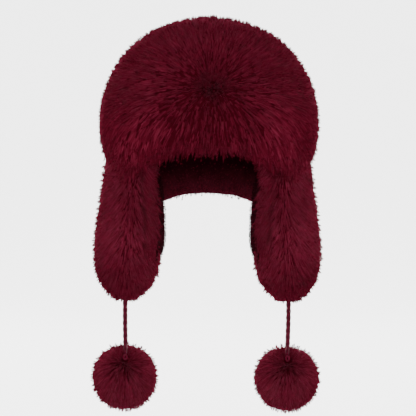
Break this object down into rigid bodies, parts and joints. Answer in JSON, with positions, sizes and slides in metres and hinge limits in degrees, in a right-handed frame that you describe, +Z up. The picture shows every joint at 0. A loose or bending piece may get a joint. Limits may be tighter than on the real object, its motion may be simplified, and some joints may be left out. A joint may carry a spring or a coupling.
{
  "type": "long-haired fur ushanka with hanging ear flaps, twisted cords and fur pompoms",
  "caption": "Winter hat with a deep fur crown, a plush-lined head opening and ear flaps that end in cords with fur pompoms.",
  "frame": {"origin": "centre of the head opening, level with the brow, where the hat sits on a head", "axes": "+Z up through the crown, -Y the way the wearer faces, +X the wearer's left"},
  "size_m": [0.2896, 0.3101, 0.5072],
  "materials": {
    "fur": "long soft guard hair, dyed burgundy",
    "plush": "short dense plush, dark burgundy",
    "twisted_cord": "two-ply twisted cord, slight sheen"
  },
  "bodies": {
    "root": {"crown_fur": "fur", "crown_lining": "plush", "ear_flap_left": "fur", "ear_flap_right": "fur", "flap_lining_left": "plush", "flap_lining_right": "plush", "cord_left": "twisted_cord", "cord_right": "twisted_cord", "cord_loop_left": "twisted_cord", "cord_loop_right": "twisted_cord", "pompom_left": "fur", "pompom_right": "fur"}
  },
  "joints": []
}
